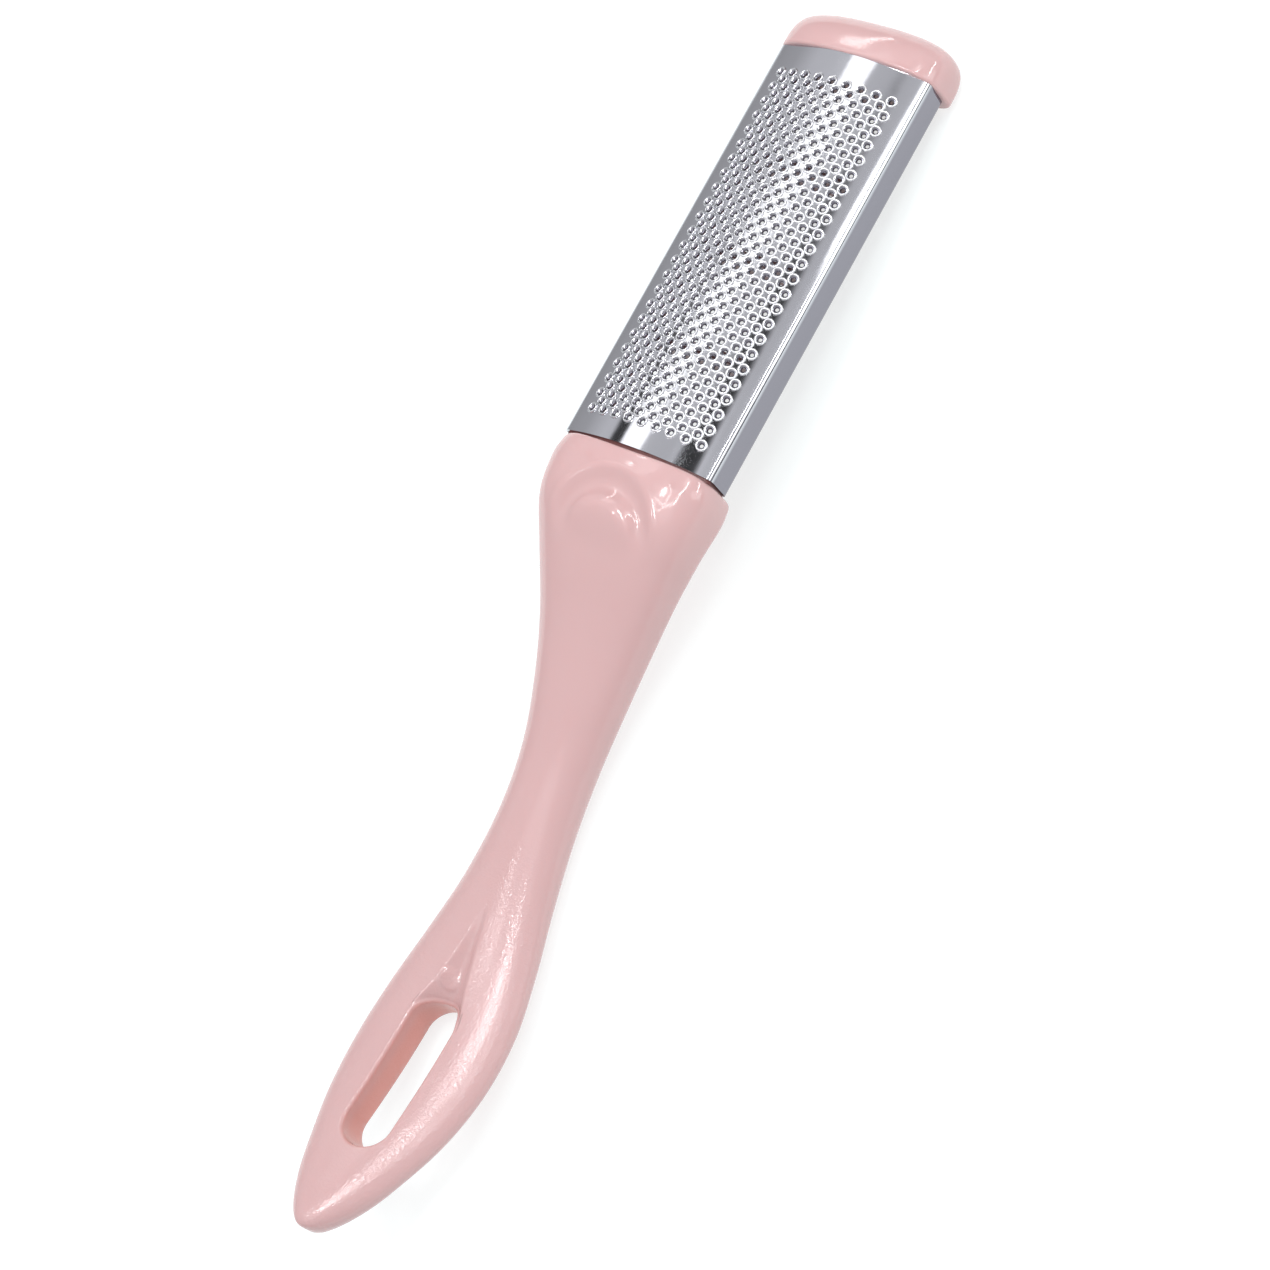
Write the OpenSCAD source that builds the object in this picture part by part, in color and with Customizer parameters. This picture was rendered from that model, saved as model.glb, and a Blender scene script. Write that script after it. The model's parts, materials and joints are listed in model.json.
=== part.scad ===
// Foot file: a crowned steel rasp plate on a moulded frame, with a curved handle that ends in a
// hanging eye, and a cap that closes the free end of the plate.
// The head is drawn flat first: x runs from the collar towards the cap, z = 0 is the crown of the
// plate and x = 0 is its rear edge. The whole tool is then tipped to lie on the cap and the grip.

/* [Rasp plate] */
// Length of the steel plate along the tool
plate_l = 79.6; // [60:0.1:110]
// Width over the folded sides
plate_w = 32; // [26:0.1:38]
// Height from the crown down to the folded-in lips
plate_h = 9.8; // [9:0.1:13]
// Radius of the crowned face
crown_r = 38.5; // [32:0.1:60]
// Thickness of the sheet
sheet_t = 0.4; // [0.3:0.05:0.6]
// Outer radius of the bend between the face and a side
bend_r = 1.4; // [1:0.1:2.2]
// Width of each lip folded in under the frame
lip_w = 2.4; // [1.5:0.1:3]

/* [Raised holes] */
// Distance between neighbouring holes, along and across
hole_pitch = 3; // [2.6:0.1:3.6]
// Distance from the rear edge of the plate to the first row of holes, and the least at the front
hole_margin = 4.8; // [3:0.1:8]
// Least distance from a folded side to the first column of holes
side_margin = 3; // [2.4:0.1:6]
// Bore of a hole
hole_d = 1.1; // [0.7:0.05:1.2]
// Diameter of a raised rim at its foot
rim_foot_d = 2.15; // [1.8:0.05:2.3]
// Diameter of a raised rim at its cutting edge
rim_tip_d = 1.7; // [1.4:0.05:1.75]
// Height of a rim above the sheet
rim_h = 0.45; // [0.2:0.05:0.7]

/* [Plate frame] */
// Width of each side rail
rail_w = 3; // [2.6:0.1:5]
// Thickness of the ribs that cross between the rails
rib_t = 1.8; // [1.2:0.1:3]
// Spaces between the ribs
frame_cells = 4; // [2:1:6]
// Length of each solid end of the frame
frame_end_l = 4; // [3:0.1:6]
// Free depth between the plate and the top of a rib
rib_drop = 3.2; // [2:0.1:5]
// Width of the tongue at each end of the frame
tongue_w = 16; // [10:0.1:17]
// Height of the tongues
tongue_h = 4.6; // [3:0.1:5.5]
// Length of the tongue that enters the handle
rear_tongue_l = 11; // [8:0.1:12]
// Length of the tongue that enters the cap
front_tongue_l = 3; // [2:0.1:3.6]
// Clearance round the frame inside the plate
frame_fit = 0.15; // [0.05:0.01:0.25]
// Clearance round a tongue in its socket
tongue_fit = 0.15; // [0.05:0.01:0.25]

/* [End cap] */
// Length of the straight rim of the cap
cap_rim_l = 4; // [3.8:0.1:8]
// How far the end of the cap domes past its rim
cap_dome_l = 5; // [2:0.1:8]
// How far the cap and collar stand out past the sides of the plate
head_step = 1; // [0.8:0.1:3]
// Depth of the cap and collar below the folded-in lips
head_drop = 3.4; // [1.5:0.1:5]
// Depth taken off the underside of the cap to make its flat sole
sole_cut = 0.25; // [0.1:0.05:0.5]

/* [Handle] */
// Length from the face of the collar to the tip
grip_l = 138.5; // [110:0.5:170]
// Width at the waist behind the thumb rest
neck_w = 15.1; // [12:0.1:20]
// Thickness at the waist
neck_t = 11.2; // [9:0.1:15]
// Width across the hanging eye
eye_w = 28.6; // [24:0.1:34]
// Thickness across the hanging eye
eye_t = 8.4; // [6.5:0.1:11]
// How far the grip dips below the line of the collar
grip_dip = 26.3; // [10:0.1:34]
// Length over which the tip rounds off
tip_l = 12.5; // [9:0.5:18]
// Gap that shows the frame between the plate and the collar
collar_gap = 0.5; // [0.3:0.05:1]

/* [Thumb rest] */
// Distance of the thumb rest from the face of the collar
thumb_x = 11.5; // [9:0.5:15]
// Length of the scoop around the thumb rest
thumb_l = 15; // [11:0.5:19]
// Width of the scoop
thumb_w = 19; // [14:0.5:22]
// Depth of the scoop
thumb_dip = 1.3; // [0.4:0.1:2]

/* [Hanging eye] */
// Length of the slot
slot_l = 28.6; // [20:0.1:34]
// Width of the slot
slot_w = 9.4; // [6:0.1:12]
// Distance from the tip to the end of the slot
slot_end = 16; // [13:0.1:20]
// Length of the pointed pocket that leads into the slot
pocket_l = 20; // [12:0.5:26]
// Depth of the pocket where it meets the slot
pocket_d = 3.4; // [1.5:0.1:4.5]

/* [Hidden] */
pink = [0.9, 0.74, 0.73];
pink_shade = [0.84, 0.66, 0.65];
steel = [0.72, 0.73, 0.77];
round_fn = 48;
hole_fn = 24;
// Overrun that carries a cut past the face it opens
cut = 1;
// The crown of the collar and cap stands this much above the plate
crown_proud = 0.25;
// Rounding of the edges of the cap and collar that face the plate
edge_r = 0.5;

// Crowned face of the sheet, drawn as one flat strip under each column of holes
strip_a = hole_pitch / crown_r * 180 / PI;
bend_y = plate_w / 2 - bend_r;
bend_a = asin(bend_y / (crown_r - bend_r));
bend_z = (crown_r - bend_r) * cos(bend_a) - crown_r;
strips = floor(bend_a / strip_a - 0.5);
bend_steps = 6;
// Turn of a hole about its own axis, which keeps its facets off the ridges between the strips
hole_turn = 37.5;

// The widest level of the collar and cap, and how far they reach above and below it
wide_share = 0.93;
wide_z = -wide_share * plate_h;
head_w = plate_w + 2 * head_step;
head_up = crown_proud - wide_z;
head_down = plate_h + head_drop + wide_z;
head_top_power = 3.1;
head_low_power = 5;
grip_power = 2.1;

// Middle height of the tongues, low enough to leave a wall above them under the thumb rest
tongue_share = 0.67;
tongue_z = -tongue_share * plate_h;

// As many rows and columns of holes as fit on the plate
hole_rows = floor((plate_l - 2 * hole_margin) / hole_pitch) + 1;
hole_cols = floor((plate_w - 2 * side_margin) / hole_pitch) + 1;

// Points round a section of the handle and cap
ring_n = 48;

// Places along the handle and how much of the collar, neck and eye width each one has
width_shares = [
    [0.000, 0.935, 0, 0], [0.006, 0.972, 0, 0], [0.030, 1, 0, 0], [0.080, 0.915, 0.085, 0],
    [0.130, 0.705, 0.295, 0], [0.200, 0.410, 0.590, 0], [0.270, 0.185, 0.815, 0],
    [0.350, 0.020, 0.980, 0], [0.430, 0, 0.980, 0.020], [0.520, 0, 0.730, 0.270],
    [0.600, 0, 0.370, 0.630], [0.680, 0, 0.060, 0.940], [0.760, 0, 0, 1],
    [0.840, 0, 0, 0.890], [0.920, 0, 0, 0.640], [1.000, 0, 0, 0.380]
];
// Places along the handle and how much of the collar, neck and eye thickness each one has
height_shares = [
    [0.000, 0.980, 0, 0], [0.006, 0.992, 0, 0], [0.030, 1, 0, 0], [0.080, 0.800, 0.200, 0],
    [0.130, 0.540, 0.460, 0], [0.200, 0.350, 0.650, 0], [0.270, 0.230, 0.770, 0],
    [0.350, 0.080, 0.920, 0], [0.430, 0, 0.930, 0.070], [0.520, 0, 0.570, 0.430],
    [0.600, 0, 0.290, 0.710], [0.680, 0, 0.070, 0.930], [0.760, 0, 0, 1], [1.000, 0, 0, 0.970]
];
// Places along the handle and how far each one has dipped
dip_shares = [
    [0.000, 0], [0.030, 0], [0.080, 0.020], [0.130, 0.140], [0.200, 0.350], [0.270, 0.530],
    [0.350, 0.698], [0.430, 0.818], [0.520, 0.918], [0.600, 0.975], [0.680, 0.998],
    [0.760, 0.975], [0.840, 0.916], [0.920, 0.832], [1.000, 0.732]
];
// Places of the rings: close together on the collar, even along the grip, closer again at the tip
collar_rings = 18;
grip_rings = 40;
tip_rings = 9;
collar_share = 0.15;
tip_share = tip_l / grip_l;
places = concat(
    [0, 0.003],
    [for (i = [1:collar_rings]) collar_share * i / collar_rings],
    [for (i = [1:grip_rings]) collar_share + (1 - tip_share - collar_share) * i / grip_rings],
    [for (i = [1:tip_rings]) 1 - tip_share * (1 - sin(90 * i / (tip_rings + 0.4)))]
);

// Smooth curve through the rows of a table: slope of the curve at row i, for column c
function slope(tab, i, c) =
    let (a = tab[max(i - 1, 0)], b = tab[min(i + 1, len(tab) - 1)]) (b[c] - a[c]) / (b[0] - a[0]);
function row_of(tab, s, i = 0) = (i >= len(tab) - 2 || s <= tab[i + 1][0]) ? i : row_of(tab, s, i + 1);
function smooth(tab, s, c) =
    let (i = row_of(tab, s), h = tab[i + 1][0] - tab[i][0], t = (s - tab[i][0]) / h)
    (1 + 2 * t) * (1 - t) * (1 - t) * tab[i][c] + t * (1 - t) * (1 - t) * h * slope(tab, i, c)
    + t * t * (3 - 2 * t) * tab[i + 1][c] + t * t * (t - 1) * h * slope(tab, i + 1, c);
function blend(tab, s, collar, neck, eye) =
    collar * smooth(tab, s, 1) + neck * smooth(tab, s, 2) + eye * smooth(tab, s, 3);
function ease(t) = let (u = min(max(t, 0), 1)) u * u * (3 - 2 * u);
function spow(v, p) = sign(v) * pow(abs(v), p);

// One section: half width a, heights above and below the widest level, and how square they are
function section(x, z, a, up, down, top_power, low_power) = [
    for (k = [0:ring_n - 1])
        let (q = 360 * k / ring_n, high = sin(q) > 0, p = 2 / (high ? top_power : low_power))
        [x, a * spow(cos(q), p), z + (high ? up : down) * spow(sin(q), p)]
];

// The handle at share s of its length
function tip_close(s) = let (d = min((1 - s) / tip_share, 1)) pow(max(1 - pow(1 - d, 3), 0), 1 / 3);
function grip_x(s) = -collar_gap - grip_l * s;
function grip_z(s) = wide_z - grip_dip * smooth(dip_shares, s, 1);
function grip_a(s) = tip_close(s) * blend(width_shares, s, head_w, neck_w, eye_w) / 2;
function grip_up(s) = sqrt(tip_close(s)) * blend(height_shares, s, head_up, neck_t / 2, eye_t / 2);
function grip_down(s) = sqrt(tip_close(s)) * blend(height_shares, s, head_down, neck_t / 2, eye_t / 2);
function squareness(s, head) = grip_power + (head - grip_power) * ease(smooth(height_shares, s, 1));

// The scoop bends round the front of the thumb rest and fades out towards the grip
function scoop(x, y) =
    let (u = (x + collar_gap + thumb_x) / (thumb_l / 2), r = norm([u, y / (thumb_w / 2)]))
    thumb_dip * exp(-pow((r - 0.75) / 0.2, 2)) * ease(u + 0.75);
function dished(p, z) = p[2] > z ? [p[0], p[1], p[2] - scoop(p[0], p[1])] : p;
function grip_ring(s) = [
    for (p = section(grip_x(s), grip_z(s), grip_a(s), grip_up(s), grip_down(s),
                     squareness(s, head_top_power), squareness(s, head_low_power)))
        dished(p, grip_z(s))
];
grip_points = [for (s = places) grip_ring(s)];

// The cap: a rim with a softened rear edge, then a dome that closes on its middle
dome_steps = 10;
dome_power = 1.75;
cap_mid_z = (head_up - head_down) / 2 + wide_z;
sole_z = wide_z - head_down + sole_cut;
cap_rows = concat(
    [[0, 1 - edge_r / (head_w / 2)], [edge_r * 0.4, 1 - edge_r / head_w / 2], [edge_r, 1]],
    [for (i = [0:dome_steps - 1])
        let (q = 90 * i / dome_steps)
        [cap_rim_l + cap_dome_l * pow(sin(q), 2 / dome_power), pow(cos(q), 2 / dome_power)]]
);
function cap_ring(row) = [
    for (p = section(plate_l + row[0], wide_z, head_w / 2, head_up, head_down,
                     head_top_power, head_low_power))
        [p[0], p[1] * row[1], max(cap_mid_z + (p[2] - cap_mid_z) * row[1], sole_z)]
];
cap_points = [for (r = cap_rows) cap_ring(r)];

// The tool lies on the underside of the cap and the belly of the grip: the common tangent below them
function lowest(pts) = min([for (p = pts) p[2]]);
belly = [for (r = grip_points) [r[0][0], lowest(r)]];
toe = [for (r = cap_points) [r[0][0], lowest(r)]];
tip_angle = min([for (c = toe) max([for (b = belly) atan2(c[1] - b[1], c[0] - b[0])])]);
function tipped(p) = [p[0] * cos(tip_angle) + p[2] * sin(tip_angle), p[1],
                      p[2] * cos(tip_angle) - p[0] * sin(tip_angle)];
all_points = [for (r = concat(grip_points, cap_points), p = r) tipped(p)];
nose = tipped([plate_l + cap_rim_l + cap_dome_l, 0, cap_mid_z]);
front_x = max(nose[0], max([for (p = all_points) p[0]]));
rear_x = min([for (p = all_points) p[0]]);
floor_z = min([for (p = all_points) p[2]]);
module resting() {
    translate([-(front_x + rear_x) / 2, 0, -floor_z]) rotate([0, tip_angle, 0]) children();
}

// A skin of triangles over rings of ring_n points, closed by a flat fan and by a pole
function loft_faces(rows) = concat(
    [for (r = [0:rows - 2], k = [0:ring_n - 1], half = [0, 1])
        let (a = r * ring_n + k, b = r * ring_n + (k + 1) % ring_n, c = a + ring_n, d = b + ring_n)
        half == 0 ? [a, c, b] : [b, c, d]],
    [for (k = [0:ring_n - 1]) let (a = (rows - 1) * ring_n) [a + k, rows * ring_n, a + (k + 1) % ring_n]],
    [[for (k = [0:ring_n - 1]) k]]
);
function flipped(faces) = [for (f = faces) [for (i = [len(f) - 1:-1:0]) f[i]]];
module loft(rings, pole, backwards) {
    points = concat([for (r = rings, p = r) p], [pole]);
    faces = loft_faces(len(rings));
    polyhedron(points = points, faces = backwards ? flipped(faces) : faces, convexity = 6);
}

module slot() {
    far = grip_x(1) + slot_end + slot_w / 2;
    near = far + slot_l - slot_w;
    tall = grip_dip + plate_h + neck_t;
    translate([0, 0, -tall - cut]) {
        for (x = [far, near])
            translate([x, 0, 0]) cylinder(d = slot_w, h = tall, $fn = round_fn);
        translate([far, -slot_w / 2, 0]) cube([near - far, slot_w, tall]);
    }
}

// Where the pocket starts and where it meets the slot, on the top of the grip
slot_near_x = grip_x(1) + slot_end + slot_l - slot_w / 2;
pocket_near_x = slot_near_x + slot_w / 2 + pocket_l - slot_w / 4;
function share_at(x) = -(x + collar_gap) / grip_l;
function top_z(x) = let (s = share_at(x)) grip_z(s) + grip_up(s);
pocket_a = atan2(top_z(pocket_near_x) - top_z(slot_near_x) + pocket_d, pocket_near_x - slot_near_x);
pocket_steps = 8;
// The pocket starts blunt and its mouth stays inside the width of the slot
pocket_start_share = 0.1;
pocket_mouth_share = 0.92;
function pocket_half(t) =
    pocket_mouth_share * slot_w / 2 * sin(90 * (t + pocket_start_share) / (1 + pocket_start_share));
module pocket() {
    run = (pocket_near_x - slot_near_x) / cos(pocket_a) + cut;
    side = [for (i = [0:pocket_steps]) [run * (1 - i / pocket_steps), pocket_half(i / pocket_steps)]];
    other = [for (p = backwards(side)) [p[0], -p[1]]];
    translate([slot_near_x, 0, top_z(slot_near_x) - pocket_d])
        rotate([0, -pocket_a, 0])
            linear_extrude(neck_t) polygon(concat(side, other));
}

module handle() {
    color(pink) resting()
        difference() {
            loft(grip_points, [grip_x(1), 0, grip_z(1)], true);
            slot();
            pocket();
            rear_socket();
        }
}

module rear_socket() {
    w = tongue_w + 2 * tongue_fit;
    h = tongue_h + 2 * tongue_fit;
    reach = rear_tongue_l + tongue_fit;
    translate([-collar_gap - reach, -w / 2, tongue_z - h / 2]) cube([reach + cut, w, h]);
}

module front_socket() {
    w = tongue_w + 2 * tongue_fit;
    h = tongue_h + 2 * tongue_fit;
    translate([plate_l - cut, -w / 2, tongue_z - h / 2]) cube([front_tongue_l + tongue_fit + cut, w, h]);
}

module end_cap() {
    color(pink) resting()
        difference() {
            loft(cap_points, [plate_l + cap_rim_l + cap_dome_l, 0, cap_mid_z], false);
            front_socket();
        }
}

// Outline of the folded sheet, moved in by an inset
function crown_points(inset) = [
    for (k = [-strips - 0.5:strips + 0.5])
        let (a = k * strip_a)
        [(crown_r - inset) * sin(a), (crown_r - inset) * cos(a) - crown_r]
];
function bend_points(inset, side) = [
    for (q = [0:bend_steps])
        let (a = bend_a + (90 - bend_a) * q / bend_steps)
        [side * (bend_y + (bend_r - inset) * sin(a)), bend_z + (bend_r - inset) * cos(a)]
];
function backwards(v) = [for (i = [len(v) - 1:-1:0]) v[i]];
module sheet_outline(inset) {
    foot = [[plate_w / 2 - inset, inset - plate_h], [inset - plate_w / 2, inset - plate_h]];
    polygon(concat(backwards(bend_points(inset, -1)), crown_points(inset), bend_points(inset, 1), foot));
}
module along(from, to) {
    translate([from, 0, 0]) rotate([90, 0, 90]) linear_extrude(to - from) children();
}

// Every hole of the staggered pattern, each square to the crowned face
module at_holes() {
    for (i = [0:2 * hole_rows - 2], j = [0:hole_cols - 1 - i % 2]) {
        across = j - (hole_cols - 1 - i % 2) / 2;
        translate([hole_margin + i * hole_pitch / 2, 0, -crown_r])
            rotate([-across * strip_a, 0, 0])
                translate([0, 0, crown_r - sheet_t / 2]) rotate([0, 0, hole_turn]) children();
    }
}

module rasp_plate() {
    color(steel) resting()
        difference() {
            union() {
                difference() {
                    along(0, plate_l) sheet_outline(0);
                    along(-cut, plate_l + cut) sheet_outline(sheet_t);
                    translate([-cut, lip_w - plate_w / 2, -plate_h - cut])
                        cube([plate_l + 2 * cut, plate_w - 2 * lip_w, 2 * cut]);
                }
                at_holes() cylinder(d1 = rim_foot_d, d2 = rim_tip_d, h = rim_h + sheet_t / 2, $fn = hole_fn);
            }
            at_holes()
                translate([0, 0, -cut]) cylinder(d = hole_d, h = rim_h + sheet_t + 2 * cut, $fn = hole_fn);
        }
}

module tongue(from, to) {
    translate([from, -tongue_w / 2, tongue_z - tongue_h / 2]) cube([to - from, tongue_w, tongue_h]);
}

// Rails, ribs and solid ends that carry the plate, with a tongue at each end
module plate_frame() {
    inner = plate_l - 2 * frame_end_l;
    cell = (inner - (frame_cells - 1) * rib_t) / frame_cells;
    open_w = plate_w - 2 * (sheet_t + frame_fit + rail_w);
    color(pink_shade) resting()
        union() {
            difference() {
                along(-collar_gap, plate_l) sheet_outline(sheet_t + frame_fit);
                for (i = [0:frame_cells - 1])
                    translate([frame_end_l + i * (cell + rib_t), -open_w / 2, -plate_h - cut])
                        cube([cell, open_w, plate_h + 2 * cut]);
                translate([frame_end_l, -open_w / 2, -sheet_t - rib_drop])
                    cube([inner, open_w, rib_drop + cut]);
            }
            tongue(-collar_gap - rear_tongue_l, cut);
            tongue(plate_l - cut, plate_l + front_tongue_l);
        }
}

handle();
plate_frame();
rasp_plate();
end_cap();
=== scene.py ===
"""The looks of a foot file: a punched steel rasp plate, its end cap and a moulded handle.

Every piece is shaped in the head's own frame, where x runs from the collar to the cap, z = 0 is the
crown of the plate and x = 0 is its rear edge. It is then tipped to lie as the tool does on a table.
"""

import json
import math
from collections import namedtuple

import bmesh
import bpy
import numpy as np
from bpy.props import FloatProperty, FloatVectorProperty, IntProperty, PointerProperty
from mathutils import Matrix, Vector


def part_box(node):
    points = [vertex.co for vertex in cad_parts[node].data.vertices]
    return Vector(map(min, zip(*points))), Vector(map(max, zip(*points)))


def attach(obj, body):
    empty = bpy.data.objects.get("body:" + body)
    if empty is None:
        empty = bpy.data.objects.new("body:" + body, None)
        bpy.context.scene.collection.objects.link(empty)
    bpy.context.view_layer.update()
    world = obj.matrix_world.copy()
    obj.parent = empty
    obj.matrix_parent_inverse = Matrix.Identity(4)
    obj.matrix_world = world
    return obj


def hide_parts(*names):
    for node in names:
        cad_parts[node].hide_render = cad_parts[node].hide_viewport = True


bl_info = {
    "name": "Foot file",
    "version": (1, 0, 0),
    "blender": (4, 5, 0),
    "location": "3D View > Sidebar > Foot File",
    "description": "Models the rasp plate, end cap and handle of a foot file and lights them",
    "category": "Add Mesh",
}

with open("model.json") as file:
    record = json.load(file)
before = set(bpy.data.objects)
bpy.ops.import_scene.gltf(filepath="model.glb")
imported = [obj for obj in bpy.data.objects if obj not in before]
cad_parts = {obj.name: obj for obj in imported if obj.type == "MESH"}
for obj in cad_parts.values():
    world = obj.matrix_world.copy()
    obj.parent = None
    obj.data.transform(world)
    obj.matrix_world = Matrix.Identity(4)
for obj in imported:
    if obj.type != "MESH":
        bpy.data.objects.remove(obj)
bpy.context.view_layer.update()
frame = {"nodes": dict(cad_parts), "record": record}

MM = 0.001
WELD = 0.002 * MM


def length(name, text, millimetres):
    """A size in metres that is written here in millimetres."""
    return FloatProperty(
        name=name, description=text, default=millimetres * MM, unit="LENGTH", precision=5)


def tint(name, text, colour):
    return FloatVectorProperty(
        name=name, description=text, default=colour, size=3, subtype="COLOR", min=0, max=1)


def share(name, text, value):
    return FloatProperty(name=name, description=text, default=value, min=0, max=1, subtype="FACTOR")


def amount(name, text, value):
    return FloatProperty(name=name, description=text, default=value, min=0)


class RaspSizes(bpy.types.PropertyGroup):
    """The folded and punched sheet."""

    plate_length: length("Length", "Length of the plate along the tool", 79.6)
    plate_width: length("Width", "Width over the folded sides", 32.0)
    plate_height: length("Height", "Height from the crown to the lips", 9.8)
    crown_radius: length("Crown radius", "Radius of the crowned face", 38.5)
    sheet: length("Sheet", "Thickness of the sheet", 0.4)
    bend: length("Upper bend", "Outer radius between the face and a side", 1.4)
    fold: length("Lower fold", "Outer radius between a side and its lip", 1.0)
    lip: length("Lip", "Width of each lip folded in under the frame", 2.4)
    pitch: length("Hole pitch", "Distance between neighbouring holes", 3.0)
    rows: IntProperty(name="Rows", description="Rows of holes along the plate", default=24, min=2)
    columns: IntProperty(name="Columns", description="Columns of holes across the plate", default=9, min=3)
    margin: length("Margin", "Distance from the rear edge to the first row", 4.8)
    rim_foot: length("Rim foot", "Radius of a raised rim where it leaves the sheet", 1.08)
    rim_top: length("Rim top", "Radius of a raised rim at its cutting edge", 0.94)
    rim_height: length("Rim height", "Height of the cutting edge above the sheet", 0.3)
    bore: length("Bore", "Radius of a hole through the sheet", 0.37)
    steel: tint("Steel", "Colour of the polished sheet", (0.56, 0.565, 0.60))
    # The rims' near-white colour is partly burnish and partly a painted highlight
    burnish_highlight_tint: tint("Burnished", "Colour of the rims, burnished by the punch", (0.97, 0.97, 0.98))
    # Painted shade: a dark colour on the sides and in the bores, standing for the darker reflection and
    # shade there
    shade_paint: tint("Drawn sides", "Colour of the sides, drawn down and less polished", (0.26, 0.25, 0.285))
    polish: share("Roughness", "Roughness of the polished sheet", 0.08)


class HeadSizes(bpy.types.PropertyGroup):
    """The collar of the handle and the end cap, which share one section."""

    step: length("Step", "How far collar and cap stand out past the plate", 1.0)
    drop: length("Drop", "Depth of collar and cap below the lips", 3.4)
    proud: length("Proud", "Height of their crown above the plate", 0.25)
    level: share("Widest level", "Level of the widest point as a share of the plate's height", 0.93)
    rim: length("Cap rim", "Length of the straight rim of the cap", 1.0)
    dome: length("Cap dome", "How far the cap domes past its rim", 8.0)
    edge: length("Edge", "Rounding of the edges that face the plate", 0.5)
    sole: length("Sole", "Depth taken off the cap to make a flat sole", 0.25)
    tongue_width: length("Tongue width", "Width of the frame's tongues", 16.0)
    tongue_height: length("Tongue height", "Height of the frame's tongues", 4.6)
    tongue_share: share("Tongue level", "Level of the tongues as a share of the plate's height", 0.67)
    rear_tongue: length("Rear tongue", "Length of the tongue in the handle", 11.0)
    front_tongue: length("Front tongue", "Length of the tongue in the cap", 3.0)
    fit: length("Fit", "Clearance round a tongue", 0.15)


class HandleSizes(bpy.types.PropertyGroup):
    """The one-piece handle behind the collar."""

    grip: length("Length", "Length from the face of the collar to the tip", 138.5)
    neck_width: length("Neck width", "Width at the waist behind the thumb rest", 15.1)
    neck_depth: length("Neck depth", "Thickness at the waist", 11.2)
    eye_width: length("Eye width", "Width across the hanging eye", 28.6)
    eye_depth: length("Eye depth", "Thickness across the hanging eye", 8.4)
    dip: length("Dip", "How far the grip dips below the line of the collar", 26.3)
    tip: length("Tip", "Length over which the tip rounds off", 13.4)
    gap: length("Gap", "Gap between plate and collar at the middle", 0.5)
    bow: length("Bow", "How much the gap closes towards the sides", 0.34)
    sag: length("Sag", "How much the gap widens at the middle", 0.08)
    slot_length: length("Slot length", "Length of the slot between its walls", 28.6)
    slot_width: length("Slot width", "Width of the slot between its walls", 9.4)
    slot_end: length("Slot end", "Distance from the tip to the end of the slot", 16.0)
    slot_edge: length("Slot edge", "Rounding of the slot's edges", 0.7)
    pocket: length("Pocket", "Length of the pocket from its point to the slot", 18.5)
    pocket_depth: length("Pocket depth", "Depth of the pocket where it meets the slot", 3.4)
    thumb: length("Thumb rest", "Distance of the thumb rest's middle from the collar", 14.3)
    thumb_side: length("Thumb offset", "How far the thumb rest's middle lies to one side", 0.8)
    thumb_dip: length("Thumb dip", "Depth of the hollow in front of the thumb pad", 1.05)
    ridge_reach: length("Ridge reach", "How far the ridge lies in front of the pad's middle", 10.9)
    ridge_side: length("Ridge side", "How far the ridge lies to each side of it", 11.0)
    ridge_rise: length("Ridge rise", "Height of the ridge", 0.2)
    pad_reach: length("Pad reach", "How far the pad reaches in front of its middle", 5.1)
    pad_side: length("Pad side", "How far the pad reaches to each side", 5.9)
    pad_rise: length("Pad rise", "Height of the pad", 0.65)
    pink: tint("Pink", "Colour of the moulding", (0.57, 0.37, 0.365))
    polish: share("Roughness", "Roughness of the moulding", 0.09)


class StageSizes(bpy.types.PropertyGroup):
    """The floor, lamps and camera."""

    floor_width: length("Floor", "Width of the floor", 6000)
    lens: FloatProperty(name="Lens", description="Focal length in millimetres", default=99.21, min=1)
    height: length("Lamp height", "Height of the softboxes above the floor", 500)
    lamps: amount("Lamps", "Brightness of all the softboxes", 1.0)
    glow: amount("Glow", "Light that the white table gives off", 0.66)
    sky: amount("Sky", "Brightness of the surroundings", 1.0)


def sizes():
    scene = bpy.context.scene
    return scene.foot_rasp, scene.foot_head, scene.foot_handle


# Curves and sections that the pieces share

def value_on(table, s, column):
    """Value of a smooth curve through the rows of a table at place s."""
    i = 0
    while i < len(table) - 2 and s > table[i + 1][0]:
        i += 1

    def slope(k):
        a, b = table[max(k - 1, 0)], table[min(k + 1, len(table) - 1)]
        return (b[column] - a[column]) / (b[0] - a[0])

    h = table[i + 1][0] - table[i][0]
    t = (s - table[i][0]) / h
    return (
        (1 + 2 * t) * (1 - t) ** 2 * table[i][column]
        + t * (1 - t) ** 2 * h * slope(i)
        + t * t * (3 - 2 * t) * table[i + 1][column]
        + t * t * (t - 1) * h * slope(i + 1)
    )


def ease(t):
    """A smooth step that rises from 0 to 1 as t does."""
    t = min(max(t, 0.0), 1.0)
    return t * t * (3 - 2 * t)


def mix(a, b, t):
    return a + (b - a) * t


def quarter_oval(half, reach, power, count):
    """Points spread evenly along a quarter of a squared oval, from its side to its top."""
    angles = np.linspace(0, np.pi / 2, 241)
    y, z = half * np.cos(angles) ** (2 / power), reach * np.sin(angles) ** (2 / power)
    y[-1] = 0
    walked = np.append(0, np.cumsum(np.hypot(np.diff(y), np.diff(z))))
    wanted = np.linspace(0, walked[-1], count + 1)
    return list(zip(np.interp(wanted, walked, y), np.interp(wanted, walked, z)))


def oval_height(half, reach, power, y):
    """Height of a squared oval at a distance y from its middle."""
    t = min(abs(y) / half, 1.0) if half > 0 else 0.0
    return reach * (1 - t ** power) ** (1 / power)


# A section across the tool: level is its widest level, and the powers say how square its halves are
Station = namedtuple("Station", "x level half up down top_power low_power")


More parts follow.
